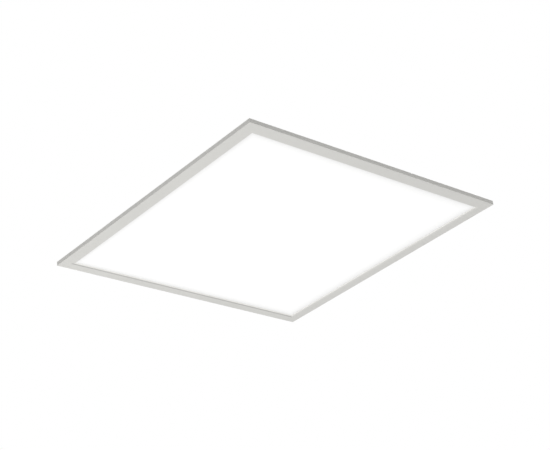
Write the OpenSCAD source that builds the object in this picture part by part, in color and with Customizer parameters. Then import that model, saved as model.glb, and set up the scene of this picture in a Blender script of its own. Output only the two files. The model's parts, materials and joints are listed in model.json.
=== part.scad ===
/* [Panel] */
// Width of the panel along X, 5 mm under its ceiling module
panel_x = 595; // [520:1:720]
// Length of the panel along Y
panel_y = 595; // [570:1:900]
// Height of the frame's outer wall
frame_h = 8; // [8:0.2:14]
// Width of the frame's visible face
bezel_w = 25; // [18:0.5:34]

/* [Frame extrusion] */
// Thickness of the outer wall
wall_t = 1.2; // [0.8:0.1:2]
// Thickness of the visible flange
flange_t = 0.9; // [0.7:0.1:1.4]
// Thickness of the rib that carries the LED boards
rib_t = 1.2; // [0.8:0.1:2]
// Thickness of the web under the back cover
web_t = 1; // [0.8:0.1:1.2]
// How far the outer wall stands above the web
lip_h = 1; // [0.8:0.1:1.2]
// Width of the hollow chamber for keys, screws and inserts
chamber_w = 7.8; // [7.6:0.1:11]

/* [Corner joints] */
// Length of each leg of a corner key, from the panel's corner
key_leg = 42; // [36:1:60]
// Distance of a key's first screw from the panel's corner
key_screw_near = 18; // [14:1:20]
// Distance of a key's second screw from the panel's corner
key_screw_far = 34; // [28:1:34]
// Radius of a key screw's shank
key_screw_r = 1.5; // [1.2:0.1:1.6]
// Radius of a key screw's countersunk head
key_head_r = 2.5; // [2.2:0.1:2.8]
// Height of a key screw's countersunk head
key_head_h = 0.8; // [0.5:0.05:0.8]

/* [Light stack] */
// Thickness of the diffuser plate
diffuser_t = 1.5; // [1:0.1:2]
// Thickness of the light guide plate
guide_t = 3; // [2:0.1:3.6]
// Thickness of the reflector sheet
reflector_t = 0.3; // [0.2:0.05:0.5]
// Thickness of the adhesive thermal tape
tape_t = 0.2; // [0.1:0.05:0.4]
// Thickness of an LED board
board_t = 1; // [0.8:0.1:1.6]
// Height of an LED board
board_h = 4.8; // [3:0.1:5]
// Distance from an LED board's end to the outside of the frame
board_inset = 30; // [16:1:60]
// Width of an LED package along its board
led_w = 3.5; // [2.8:0.1:5]
// Height of an LED package
led_h = 2.8; // [1.6:0.1:3]
// Thickness of an LED package
led_t = 0.7; // [0.5:0.05:1]
// LED packages on each board
led_count = 48; // [12:1:60]
// Radius of an LED package's phosphor window
led_window_r = 1.1; // [0.6:0.1:1.2]
// Depth of the phosphor window
led_window_d = 0.15; // [0.1:0.05:0.3]
// Air gap from the LED packages to the light guide
led_gap = 0.5; // [0.3:0.1:1]
// Gap beside the plates on the sides without LEDs
plate_gap = 0.8; // [0.4:0.1:1.5]

/* [Back cover] */
// Thickness of the steel back cover
cover_t = 0.5; // [0.4:0.05:0.8]
// Gap between the cover and the frame's outer wall
cover_gap = 0.3; // [0.2:0.05:0.6]
// Width of a stiffening bead at its foot
bead_w = 14; // [10:1:20]
// Height of a stiffening bead
bead_rise = 1; // [0.5:0.1:1.5]
// Length of a bead between its end centres
bead_l = 420; // [200:5:430]
// Number of beads
bead_count = 5; // [1:1:5]
// Distance between neighbouring beads
bead_pitch = 60; // [30:1:60]
// Distance of the first bead from the front edge
bead_edge = 78; // [50:1:78]
// Cover screws on each side
screw_count = 4; // [3:1:5]
// Distance of the outermost cover screws from the corner
screw_inset = 90; // [88:1:110]
// Radius of a cover screw's shank
screw_r = 1.4; // [1.2:0.1:1.6]
// Radius of a cover screw's head
screw_head_r = 2.75; // [2.2:0.05:3]
// Height of a cover screw's head
screw_head_h = 1.6; // [1:0.1:2]
// Width of the recess in the screw heads
drive_w = 0.7; // [0.5:0.1:1]
// Depth of the recess in the screw heads
drive_d = 0.7; // [0.4:0.1:0.9]

/* [Suspension inserts] */
// Distance of the inserts from the panel's corner, along Y
insert_inset = 60; // [55:1:70]
// Radius of the insert's bore, for an M4 stud
insert_bore_r = 2; // [1.5:0.1:2.2]
// Radius of the insert's body
insert_body_r = 2.9; // [2.6:0.1:3.2]
// Radius of the insert's flange
insert_flange_r = 3.6; // [3.4:0.1:3.6]
// Thickness of the insert's flange
insert_flange_t = 0.6; // [0.5:0.1:1]
// Depth of the insert below the cover
insert_depth = 5; // [3:0.1:5]

/* [Lead] */
// Radius of the output lead's sheath
lead_r = 2.2; // [1.8:0.1:2.2]
// Place of the lead's hole in the cover, along X
lead_hole_x = 166; // [150:1:180]
// Place of the lead's hole in the cover, along Y
lead_hole_y = 268; // [266:1:270]
// Radial clearance of the lead in its grommets
lead_fit = 0.05; // [0.03:0.01:0.1]
// Radius of the holes that hold the lead's grommets
lead_hole_r = 3.6; // [3.4:0.1:4]
// Radius of the lead grommets' flange
lead_flange_r = 5.5; // [5:0.1:6]
// Thickness of the lead grommets' outer flange
lead_flange_t = 1.5; // [1:0.1:2]
// Width of the flat wire between the LED boards
wire_w = 3; // [2:0.1:4]
// Thickness of the flat wire between the LED boards
wire_t = 1; // [0.6:0.1:1]
// Size of a lead clip along the lead
clip_l = 8; // [5:0.5:12]
// Width of a lead clip
clip_w = 11; // [9:0.5:14]
// Wall of a lead clip over the lead
clip_wall = 1.2; // [0.8:0.1:2]
// Radial clearance of the lead in its clips
clip_fit = 0.15; // [0.1:0.05:0.3]

/* [Driver box] */
// Length of the driver box along X
driver_l = 236; // [236:1:300]
// Width of the driver box along Y
driver_w = 80; // [80:1:110]
// Height of the driver box's tray
tray_h = 30; // [30:1:42]
// Place of the driver box's centre along Y
driver_y = 150; // [130:1:160]
// Sheet thickness of the tray, lid and door
sheet_t = 0.8; // [0.6:0.05:1]
// Length of the wiring bay
bay_l = 74; // [74:1:80]
// Gap between the lid and the door
lid_gap = 0.8; // [0.4:0.1:1.5]
// Side clearance of lid and door flanges around the tray
flange_fit = 0.3; // [0.2:0.05:0.5]
// Depth of the lid's flanges
lid_flange = 10; // [8:0.5:12]
// Width of a ventilation slot in the lid
vent_w = 3; // [2:0.5:4]
// Length of a ventilation slot between its end centres
vent_l = 20; // [10:1:24]
// Ventilation slots in each row
vent_count = 9; // [2:1:10]
// Distance between neighbouring slots
vent_pitch = 10; // [7:0.5:10]
// Radius of the studs that hold the box
stud_r = 1.5; // [1.2:0.1:2]
// Height of those studs above the cover
stud_h = 5.2; // [4.5:0.1:5.2]
// Distance across the flats of their nuts
nut_flats = 5.5; // [5:0.1:6]
// Height of their nuts
nut_h = 2.4; // [1.6:0.1:2.6]

/* [Wiring door] */
// Length of one hinge knuckle
knuckle_l = 10; // [8:0.5:12]
// Gap between neighbouring knuckles
knuckle_gap = 0.6; // [0.4:0.1:1]
// Outer radius of the knuckles
knuckle_r = 2; // [1.8:0.1:2]
// Radius of the hinge pins
pin_r = 1; // [0.8:0.05:1]
// Radial clearance of a knuckle that turns on its pin
pin_fit = 0.06; // [0.03:0.01:0.09]
// Radial clearance of a knuckle that holds its pin
hold_fit = 0.02; // [0.01:0.01:0.03]
// Gap between the door and the tray's rim
door_gap = 0.1; // [0.1:0.05:0.3]
// Depth of the door's lips
door_lip = 6; // [4:0.5:8]
// Distance of the door's screw from the tray's side
door_screw_inset = 7; // [7:0.5:9]
// Radius of the door screw's shank
door_screw_r = 1.5; // [1.2:0.1:1.6]
// Radius of the door screw's head
door_head_r = 4; // [3.5:0.1:4.5]
// Height of the door screw's head
door_head_h = 2.2; // [1.6:0.1:3]
// Length of the door screw below the door
door_screw_l = 6; // [4:0.5:7]

/* [Cable entry] */
// Distance of each cable hole from the box's centre line
entry_y = 16; // [14:0.5:16]
// Height of the cable holes above the tray's underside
entry_z = 11.5; // [11:0.5:13]
// Radius of the cable holes in the tray
entry_hole_r = 7; // [6.5:0.1:7.2]
// Radius of the grommet's bore
entry_bore_r = 4.5; // [4:0.1:5]
// Radius of the grommet's flanges
entry_flange_r = 8.5; // [8:0.1:9]
// Thickness of each grommet flange
entry_flange_t = 1.5; // [1:0.1:2]
// Radial clearance of a grommet's neck in its hole
grommet_fit = 0.1; // [0.05:0.05:0.2]
// Length of the cord clamp along the cable
clamp_l = 8; // [6:0.5:9]
// Width of the cord clamp
clamp_w = 36; // [34:0.5:36]
// Gap between the two halves of the cord clamp
clamp_gap = 1; // [0.5:0.1:2]
// Distance of each clamp screw from the cable's centre
clamp_screw_y = 13; // [11:0.5:13.5]

/* [Driver electronics] */
// Length of the driver's circuit board
pcb_l = 170; // [168:1:172]
// Width of the driver's circuit board
pcb_w = 72; // [72:1:74]
// Thickness of the circuit board
pcb_t = 1.6; // [1:0.1:1.6]
// Height of the spacers under the board
spacer_h = 5; // [4.5:0.1:5.5]
// Radius of the spacers
spacer_r = 3; // [2.5:0.1:3]
// Thickness of the insulation sheet
sheet_plastic_t = 0.4; // [0.2:0.1:0.6]
// Thickness of the barrier between the bays
barrier_t = 1; // [0.8:0.1:1.4]

/* [Terminals] */
// Distance between neighbouring terminals
pole_pitch = 9.3; // [8.5:0.1:9.5]
// Height of the terminal block
block_h = 16; // [15:0.5:17]
// Depth of the terminal block along X
block_l = 18; // [17:0.5:18]
// Radius of a wire hole
wire_hole_r = 1.7; // [1.4:0.1:2]
// Width of a release button along X
button_x = 5.8; // [5:0.1:6]
// Width of a release button along Y
button_y = 4.8; // [4:0.1:5]
// How far a released button stands above the block
button_rise = 2; // [1.8:0.1:2.5]
// Travel of a release button
button_travel = 1.5; // [1:0.1:1.5]
// Side clearance of a moving button or slider in its pocket
slide_fit = 0.3; // [0.3:0.05:0.4]
// Travel of the selector to each side of its middle
selector_travel = 3; // [2:0.5:3]

/* [Grid tabs] */
// Distance of a tab's middle from the panel's corner, along X
tab_inset = 67; // [66:0.5:68]
// Width of a tab
tab_w = 26; // [20:0.5:28]
// Length of a tab from its hinge axis
tab_l = 24; // [22:0.5:30]
// Thickness of a tab
tab_t = 1; // [0.8:0.05:1]
// Distance of the hinge axis from the panel's edge
tab_edge = 6.5; // [6.5:0.1:8]
// Height of the hinge axis above the cover
tab_axis_h = 2.1; // [2.1:0.05:2.4]
// Outer radius of the tabs' knuckles
tab_knuckle_r = 1.8; // [1.5:0.05:1.8]
// Radius of the tabs' hinge pins
tab_pin_r = 0.8; // [0.6:0.05:0.9]
// Length of the knuckle in the middle of a tab
tab_knuckle_l = 11; // [9:0.5:12]
// Depth of a bracket's foot on the cover
tab_foot = 9; // [6:0.5:9]
// Radius of the hole for a support wire
tab_hole_r = 2.2; // [1.5:0.1:2.5]
// Distance of that hole from the hinge axis
tab_hole_at = 17; // [16:0.5:18]

/* [Hidden] */
$fn = 48;
half_x = panel_x / 2;
half_y = panel_y / 2;
eps = 0.01;
thread_fit = 0.05;
clear_fit = 0.2;

// Levels of the panel, from the visible face up
rib_in = wall_t + chamber_w;
rib_out = rib_in + rib_t;
chamber_mid = wall_t + chamber_w / 2;
web_top = frame_h - lip_h;
web_bottom = web_top - web_t;
diffuser_top = flange_t + diffuser_t;
guide_top = diffuser_top + guide_t;
guide_mid = (diffuser_top + guide_top) / 2;
reflector_top = guide_top + reflector_t;
cover_top = web_top + cover_t;

// Distances in from the panel's edge
board_back = rib_out + tape_t;
board_face = board_back + board_t;
led_face = board_face + led_t;
plate_in_x = rib_out + plate_gap;
plate_in_y = led_face + led_gap;

// Screws and inserts in the frame's chamber
key_fit = 0.1;
key_screw_l = web_top - flange_t - 1;
key_spots = [for (d = [key_screw_near, key_screw_far], swap = [false, true])
    swap ? [chamber_mid, d] : [d, chamber_mid]];
cover_screw_l = cover_top - flange_t - 1.2;
insert_spots = [for (sx = [-1, 1], sy = [-1, 1])
    [sx * (half_x - chamber_mid), sy * (half_y - insert_inset)]];
function spread(span, count) = [for (i = [0:count - 1]) i * span / (count - 1) - span / 2];
cover_spots_x = [for (x = spread(panel_x - 2 * screw_inset, screw_count), s = [-1, 1])
    [x, s * (half_y - chamber_mid)]];
cover_spots_y = [for (y = spread(panel_y - 2 * screw_inset, screw_count), s = [-1, 1])
    [s * (half_x - chamber_mid), y]];
cover_spots = concat(cover_spots_x, cover_spots_y);
bead_top_w = bead_w - 6 * bead_rise;
bead_slope = (bead_w - bead_top_w) / 2;
bead_wall = 0.4;

// Driver box, measured from its middle and from the cover's top face
box_end = driver_l / 2;
box_side = driver_w / 2;
split_x = bay_l - box_end;
bay_mid = bay_l / 2 - box_end;
door_bottom = tray_h + door_gap;
door_top = door_bottom + sheet_t;
lid_edge = box_side + flange_fit + sheet_t;
hinge_y = box_side + knuckle_r + 0.2;
hinge_z = tray_h - 0.2;
hinge_l = 5 * knuckle_l + 4 * knuckle_gap;
knuckle_pitch = knuckle_l + knuckle_gap;
screw_tab_z = door_bottom - 2.6;
screw_tab_w = 14;
screw_tab_hole_r = door_screw_r + 0.9;
door_screw_y = door_screw_inset - box_side;
collar_r = door_screw_r + 1.3;
stud_x = [bay_mid - 7, box_end - 10];
stud_y = box_side - 10;
stud_spots = [for (x = stud_x, s = [-1, 1]) [x, s * stud_y]];
vent_first = 4;
vent_y = 20;
lid_screw_x = [split_x + 14, box_end - 18];
lid_screw_z = tray_h - 5;
boss_h = 3;
earth_screw_r = 2;
earth_head_r = 4;
earth_head_h = 2.4;
washer_r = 4.5;
washer_t = 0.8;
boss_r = 5;
boss_at = [14 - box_end, 15];

// Cable entry
grommet_l = sheet_t + 2 * entry_flange_t;
clamp_at = 16 - box_end;
clamp_roof = 2.4;
clamp_groove_r = entry_bore_r + 0.1;
clamp_top = entry_z + clamp_groove_r + clamp_roof;

// Circuit board and what it carries
pcb_z = sheet_t + spacer_h;
pcb_top = pcb_z + pcb_t;
pcb_x = split_x - 26;
spacer_spots = [for (x = [pcb_x + 23, pcb_x + 162], s = [-1, 1]) [x, s * (pcb_w / 2 - 4)]];
block_x = pcb_x + 2;
block_y = -entry_y;
block_w = 3 * pole_pitch;
pole_ys = [for (i = [-1:1]) block_y + i * pole_pitch];
button_depth = 4.4;
button_gap = 0.5;
button_mid_x = block_x + 10;
selector_at = [pcb_x + 9, 15];
selector_size = [10, 18, 7];
slider_size = [2.8, 3.2, 5.2];
slider_rise = 1.6;
barrier_x = split_x + 1.5;
choke_at = [split_x + 17, -18];
choke_ring_r = 8;
choke_wire_r = 4;
film_at = [split_x + 17, 16];
bulk_at = [for (s = [-1, 1]) [split_x + 40, s * 21]];
output_cap_at = [for (x = [104, 118]) [split_x + x, -20]];
core_at = [split_x + 74, 0];
core_size = [32, 12, 20];
core_leg = 10;
core_yoke = 4;
coil_w = 26;
coil_gap = 0.3;
sink_at = [split_x + 84, 22];
sink_size = [58, 3, 19];
transistor_size = [10, 4.5, 15];
socket_at = pcb_x + 156;
socket_size = [12, 14, 10];

// Output lead: out of the box's end, down to the cover, along it and over into its hole
lead_sides = 10;
lead_steps = 2;
lead_z = cover_top + 3;
lead_run = lead_hole_x - box_end;
clip_spots = [driver_y + 44, driver_y + 58];
// Bend of the lead from the box's end, drawn for a run of bend_run and stretched to the real one
bend_run = 48;
lead_bend = [
    [0, 0, entry_z], [10, 0, entry_z - 0.5], [20, 1, 8.5], [29, 4, 5.5], [37, 10, 3.5], [43, 17, 3],
    [47, 26, 3], [bend_run, 36, 3], [bend_run, 50, 3], [bend_run, 64, 3],
];
// Hop of the lead into its hole, as [y from the hole, z above the cover]
lead_hop = [[-40, 4], [-29, 7.5], [-20, 12], [-11, 14], [-4, 12], [-0.5, 7], [0, 2.5]];
lead_route = concat(
    [for (x = [-25, -12]) [box_end + x, driver_y, cover_top + entry_z]],
    [for (p = lead_bend) [box_end + p.x * lead_run / bend_run, driver_y + p.y, cover_top + p.z]],
    [for (p = lead_hop) [lead_hole_x, lead_hole_y + p.x, cover_top + p.y]],
    [[lead_hole_x, lead_hole_y, reflector_top + wire_t + 0.1]]);

// Grid tabs
tab_spots = [[1, -1], [-1, -1], [-1, 1], [1, 1]];
tab_side_gap = 0.5;
tab_foot_t = 0.8;
tab_leaf_z = -0.9;
tab_corner_r = 4;

// A box between two opposite corners
module block(low, high) {
    translate(low) cube(high - low);
}

// A box about a centre line, standing on z = 0
module pad(size) {
    translate([-size.x / 2, -size.y / 2, 0]) cube(size);
}

// A cylinder from z0 up to z1
module rod(r, z0, z1) {
    translate([0, 0, z0]) cylinder(r = r, h = z1 - z0);
}

// Children turned so that their Z points along X, or along Y
module along_x() rotate([0, 90, 0]) children();
module along_y() rotate([-90, 0, 0]) children();

// Children copied to each of a list of places
module at_each(spots) {
    for (spot = spots) translate([spot.x, spot.y, 0]) children();
}

// Children moved to the driver box's middle, on the cover
module in_box() {
    translate([0, driver_y, cover_top]) children();
}

// A cross recess, cut down from z = 0
module cross_recess(reach) {
    for (turn = [0, 90]) rotate(turn)
        translate([-reach, -drive_w / 2, -drive_d]) cube([2 * reach, drive_w, drive_d + 1]);
}

// A pan-head screw with its seat at z = 0 and its shank below
module pan_screw(shank_r, head_r, head_h, shank_l) {
    difference() {
        union() {
            rod(head_r * 0.8, head_h / 2, head_h);
            rod(head_r, 0, head_h * 0.75);
            rod(shank_r, -shank_l, eps);
        }
        translate([0, 0, head_h]) cross_recess(head_r * 0.6);
    }
}

// ---- Frame ----

// Section of the extrusion: X runs in from the panel's edge, Y is height
module frame_section() {
    difference() {
        polygon([
            [0, 0], [bezel_w, 0], [bezel_w, flange_t], [rib_out, flange_t],
            [rib_out, web_top], [wall_t, web_top], [wall_t, frame_h], [0, frame_h],
        ]);
        translate([wall_t, flange_t]) square([chamber_w, web_bottom - flange_t]);
    }
}

// Hole for a countersunk key screw, through the web
module key_screw_hole() {
    rod(key_screw_r + thread_fit, web_bottom - 1, web_top + 1);
    translate([0, 0, web_top - key_head_h])
        cylinder(r1 = key_screw_r + thread_fit, r2 = key_head_r + thread_fit, h = key_head_h + eps);
}

// One mitred side along X, with its outer wall at y = -off
module frame_side(len, off, with_inserts) {
    screw_xs = spread(len - 2 * screw_inset, screw_count);
    reach = bezel_w + 1;
    difference() {
        intersection() {
            translate([-len / 2, -off, 0]) rotate([90, 0, 90])
                linear_extrude(len) frame_section();
            translate([0, -off, -1]) linear_extrude(frame_h + 2) polygon([
                [-len / 2, 0], [len / 2, 0], [len / 2 - reach, reach], [reach - len / 2, reach],
            ]);
        }
        for (s = [-1, 1], d = [key_screw_near, key_screw_far])
            translate([s * (len / 2 - d), chamber_mid - off, 0]) key_screw_hole();
        for (x = screw_xs)
            translate([x, chamber_mid - off, 0]) rod(screw_r + thread_fit, web_bottom - 1, web_top + 1);
        if (with_inserts) for (s = [-1, 1])
            translate([s * (len / 2 - insert_inset), chamber_mid - off, 0])
                rod(insert_body_r + thread_fit, web_bottom - 1, web_top + 1);
    }
}

module frame_front() color("gainsboro") frame_side(panel_x, half_y, false);
module frame_right() color("gainsboro") rotate(90) frame_side(panel_y, half_x, true);
module frame_back() color("gainsboro") rotate(180) frame_side(panel_x, half_y, false);
module frame_left() color("gainsboro") rotate(270) frame_side(panel_y, half_x, true);

// Children copied to the four corners, each with X and Y running inwards
module at_corners() {
    for (sx = [-1, 1], sy = [-1, 1])
        translate([sx * half_x, sy * half_y, 0]) mirror([sx > 0 ? 1 : 0, 0, 0])
            mirror([0, sy > 0 ? 1 : 0, 0]) children();
}

// Cast keys that hold the mitres together
module corner_keys() color("darkgray") at_corners() {
    near = wall_t + key_fit;
    far = wall_t + chamber_w - key_fit;
    difference() {
        translate([0, 0, flange_t]) linear_extrude(web_bottom - flange_t - key_fit) polygon([
            [near, near], [key_leg, near], [key_leg, far], [far, far], [far, key_leg], [near, key_leg],
        ]);
        at_each(key_spots) rod(key_screw_r + thread_fit, 0, frame_h);
    }
}

module corner_key_screws() color("silver") at_corners() at_each(key_spots)
    translate([0, 0, web_top]) difference() {
        union() {
            translate([0, 0, -key_head_h]) cylinder(r1 = key_screw_r, r2 = key_head_r, h = key_head_h);
            rod(key_screw_r, -key_screw_l, -key_head_h + eps);
        }
        cross_recess(key_head_r * 0.6);
    }

// ---- Light stack ----

// A sheet over the frame's opening, clear of the LED boards
module stack_sheet(z0, z1) {
    block([plate_in_x - half_x, plate_in_y - half_y, z0], [half_x - plate_in_x, half_y - plate_in_y, z1]);
}

module diffuser_plate() color("white") stack_sheet(flange_t, diffuser_top);
module light_guide_plate() color("aliceblue") stack_sheet(diffuser_top, guide_top);
module reflector_sheet() color("snow") stack_sheet(guide_top, reflector_top);

module foam_pad() color("lightyellow") difference() {
    stack_sheet(reflector_top, web_top);
    block([lead_hole_x - wire_w / 2 - 1, -half_y, 0], [lead_hole_x + wire_w / 2 + 1, half_y, frame_h]);
    translate([lead_hole_x, lead_hole_y, 0]) rod(lead_flange_r + 1, 0, frame_h);
    translate([0, driver_y, 0]) at_each(stud_spots) rod(stud_r + 2, 0, frame_h);
}

// A strip along each LED side, between two distances from the edge
module led_strips(near, far, high) {
    for (s = [0, 1]) mirror([0, s, 0]) block(
        [board_inset - half_x, near - half_y, guide_mid - high / 2],
        [half_x - board_inset, far - half_y, guide_mid + high / 2]);
}

module thermal_tapes() color("lightgray") led_strips(rib_out, board_back, board_h);
module led_boards() color("white") led_strips(board_back, board_face, board_h);

module led_packages() color("khaki") {
    span = panel_x - 2 * board_inset - 4 * led_w;
    for (s = [0, 1], x = spread(span, led_count)) mirror([0, s, 0])
        translate([x, board_face - half_y, guide_mid]) difference() {
            block([-led_w / 2, 0, -led_h / 2], [led_w / 2, led_t, led_h / 2]);
            translate([0, led_t - led_window_d, 0]) along_y() rod(led_window_r, 0, 1);
        }
}

module link_wire() color("red") block(
    [lead_hole_x - wire_w / 2, board_face - half_y, reflector_top],
    [lead_hole_x + wire_w / 2, half_y - board_face, reflector_top + wire_t]);

// ---- Back cover ----

// A bead's outer form, or with less width its underside
module bead(trim) {
    foot_r = bead_w / 2 - trim;
    top_r = foot_r - bead_slope;
    translate([-bead_l / 2, 0, 0]) rotate([90, 0, 90]) linear_extrude(bead_l)
        polygon([[-foot_r, 0], [foot_r, 0], [top_r, bead_rise], [-top_r, bead_rise]]);
    for (s = [-1, 1]) translate([s * bead_l / 2, 0, 0]) cylinder(r1 = foot_r, r2 = top_r, h = bead_rise);
}

module back_cover() color("lightgray") {
    beads = [for (i = [0:bead_count - 1]) [0, bead_edge - half_y + i * bead_pitch]];
    in_x = half_x - wall_t - cover_gap;
    in_y = half_y - wall_t - cover_gap;
    difference() {
        union() {
            block([-in_x, -in_y, web_top], [in_x, in_y, cover_top]);
            at_each(beads) translate([0, 0, cover_top]) bead(0);
        }
        at_each(beads) translate([0, 0, web_top - eps]) bead(bead_wall);
        at_each(cover_spots) rod(screw_r + clear_fit, 0, frame_h);
        at_each(insert_spots) rod(insert_body_r + thread_fit, 0, frame_h);
        translate([lead_hole_x, lead_hole_y, 0]) rod(lead_hole_r, 0, frame_h);
        in_box() at_each(stud_spots) rod(stud_r + thread_fit, -frame_h, 1);
    }
}

module cover_screws() color("silver") at_each(cover_spots)
    translate([0, 0, cover_top]) pan_screw(screw_r, screw_head_r, screw_head_h, cover_screw_l);

module suspension_inserts() color("goldenrod") at_each(insert_spots)
    translate([0, 0, cover_top]) difference() {
        union() {
            rod(insert_flange_r, 0, insert_flange_t);
            rod(insert_body_r, -insert_depth, eps);
        }
        rod(insert_bore_r, -frame_h, frame_h);
    }

// ---- Output lead ----

// Grommet around the lead, in sheet of a given thickness whose outer face is z = 0
module lead_grommet(sheet, inner_t, inner_r) {
    difference() {
        union() {
            rod(lead_flange_r, 0, lead_flange_t);
            rod(lead_hole_r - grommet_fit, -sheet, eps);
            rod(inner_r, -sheet - inner_t, -sheet);
        }
        rod(lead_r + lead_fit, -10, 10);
    }
}

module lead_grommets() color("dimgray") {
    translate([lead_hole_x, lead_hole_y, cover_top]) lead_grommet(cover_t, 0.25, lead_flange_r - 1);
    in_box() translate([box_end, 0, entry_z]) along_x()
        lead_grommet(sheet_t, lead_flange_t, lead_flange_r);
}

// Smooth curve through the route's points, and its direction
function spline(a, b, c, d, t) = 0.5 * (2 * b + (c - a) * t
    + (2 * a - 5 * b + 4 * c - d) * pow(t, 2) + (3 * b - a - 3 * c + d) * pow(t, 3));
function route_point(p, i) = p[max(0, min(len(p) - 1, i))];
function smooth(p, steps) = concat([for (i = [0:len(p) - 2], k = [0:steps - 1])
    spline(route_point(p, i - 1), p[i], p[i + 1], route_point(p, i + 2), k / steps)], [p[len(p) - 1]]);
function unit(v) = v / norm(v);
function heading(p, i) = unit(route_point(p, i + 1) - route_point(p, i - 1));

// Across a route that never runs along its reference, as this one never runs along -X
function across(dir) = unit(cross(dir, abs(dir.x) > 0.9 ? [0, 1, 0] : [1, 0, 0]));

// Sideways direction of each ring, carried along the route so that the tube doesn't twist
function carry(p, i, side) = i == len(p) ? []
    : let (dir = heading(p, i), next = unit(side - dir * (side * dir)))
        concat([next], carry(p, i + 1, next));

module tube(p, r, sides) {
    rings = len(p);
    sideways = carry(p, 0, across(heading(p, 0)));
    points = [for (i = [0:rings - 1], k = [0:sides - 1])
        let (dir = heading(p, i), u = sideways[i], v = cross(dir, u), turn = 360 * k / sides)
            p[i] + r * (cos(turn) * u + sin(turn) * v)];
    sides_faces = [for (i = [0:rings - 2], k = [0:sides - 1])
        let (a = i * sides + k, b = i * sides + (k + 1) % sides) [a, a + sides, b + sides, b]];
    start = [for (k = [0:sides - 1]) k];
    end = [for (k = [sides - 1:-1:0]) (rings - 1) * sides + k];
    polyhedron(points, concat([start], sides_faces, [end]));
}

module output_lead() color("gainsboro") tube(smooth(lead_route, lead_steps), lead_r, lead_sides);

// Adhesive saddles that hold the lead down
module lead_clips() color("white") for (y = clip_spots) translate([lead_hole_x, y, 0]) {
    bore_r = lead_r + clip_fit;
    arch_r = bore_r + clip_wall;
    difference() {
        union() {
            block([-clip_w / 2, -clip_l / 2, cover_top], [clip_w / 2, clip_l / 2, cover_top + 1.2]);
            block([-arch_r, -clip_l / 2, cover_top], [arch_r, clip_l / 2, lead_z]);
            translate([0, -clip_l / 2, lead_z]) along_y() rod(arch_r, 0, clip_l);
        }
        translate([0, -clip_l, lead_z]) along_y() rod(bore_r, 0, 2 * clip_l);
        block([-clip_w, -clip_l, 0], [clip_w, clip_l, cover_top]);
    }
}

// ---- Driver box ----

// Knuckles of the door's hinge: every second one from a first index
module door_knuckles(first, bore_fit) {
    for (i = [first:2:4]) translate([bay_mid - hinge_l / 2 + i * knuckle_pitch, hinge_y, hinge_z])
        along_x() difference() {
            rod(knuckle_r, 0, knuckle_l);
            rod(pin_r + bore_fit, -1, knuckle_l + 1);
        }
}

// Tabs that join those knuckles to their sheet, between two heights
module knuckle_tabs(first, from_y, z0, z1) {
    difference() {
        for (i = [first:2:4]) {
            x0 = bay_mid - hinge_l / 2 + i * knuckle_pitch;
            block([x0, from_y, z0], [x0 + knuckle_l, hinge_y, z1]);
        }
        translate([bay_mid - hinge_l, hinge_y, hinge_z]) along_x() rod(pin_r + 0.4, 0, 2 * hinge_l);
    }
}

module driver_tray() color("whitesmoke") in_box() {
    difference() {
        block([-box_end, -box_side, 0], [box_end, box_side, tray_h]);
        block([sheet_t - box_end, sheet_t - box_side, sheet_t],
            [box_end - sheet_t, box_side - sheet_t, tray_h + 1]);
        for (s = [-1, 1]) translate([-box_end - 1, s * entry_y, entry_z]) along_x() rod(entry_hole_r, 0, 3);
        translate([box_end - 2, 0, entry_z]) along_x() rod(lead_hole_r, 0, 3);
        at_each(stud_spots) rod(stud_r + thread_fit, -1, 2);
        for (x = lid_screw_x) translate([x, -driver_w, lid_screw_z])
            along_y() rod(screw_r + thread_fit, 0, 2 * driver_w);
    }
    translate([boss_at.x, boss_at.y, 0]) difference() {
        rod(boss_r, sheet_t - eps, sheet_t + boss_h);
        rod(earth_screw_r + thread_fit, sheet_t, sheet_t + boss_h + 1);
    }
    difference() {
        block([bay_mid - screw_tab_w / 2, sheet_t / 2 - box_side, screw_tab_z],
            [bay_mid + screw_tab_w / 2, door_screw_y + 5, screw_tab_z + sheet_t]);
        translate([bay_mid, door_screw_y, 0]) rod(screw_tab_hole_r, screw_tab_z - 1, tray_h);
    }
    door_knuckles(0, hold_fit);
    knuckle_tabs(0, box_side - sheet_t / 2, hinge_z - knuckle_r, hinge_z - knuckle_r + sheet_t);
}

module driver_studs() color("silver") in_box() at_each(stud_spots) rod(stud_r, -cover_t, stud_h);

module driver_nuts() color("silver") in_box() at_each(stud_spots) difference() {
    translate([0, 0, sheet_t]) cylinder(r = nut_flats / sqrt(3), h = nut_h, $fn = 6);
    rod(stud_r + thread_fit, 0, tray_h);
}

module driver_lid() color("white") in_box() {
    start = split_x + lid_gap / 2;
    finish = box_end + flange_fit + sheet_t;
    difference() {
        block([start, -lid_edge, tray_h - lid_flange], [finish, lid_edge, tray_h + sheet_t]);
        block([start - 1, sheet_t - lid_edge, 0], [finish - sheet_t, lid_edge - sheet_t, tray_h]);
        for (i = [0:vent_count - 1], s = [-1, 1])
            translate([split_x + 2 * vent_pitch + i * vent_pitch + vent_first, s * vent_y, 0]) vent_slot();
        for (x = lid_screw_x) translate([x, -driver_w, lid_screw_z])
            along_y() rod(screw_r + clear_fit, 0, 2 * driver_w);
    }
}

// One ventilation slot, round at both ends
module vent_slot() {
    block([-vent_w / 2, -vent_l / 2, tray_h - 1], [vent_w / 2, vent_l / 2, tray_h + 2]);
    for (s = [-1, 1]) translate([0, s * vent_l / 2, 0]) rod(vent_w / 2, tray_h - 1, tray_h + 2);
}

module lid_screws() color("silver") in_box() for (x = lid_screw_x, s = [-1, 1])
    translate([x, s * lid_edge, lid_screw_z]) rotate([-90 * s, 0, 0])
        pan_screw(screw_r, screw_head_r, screw_head_h, 4);

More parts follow.
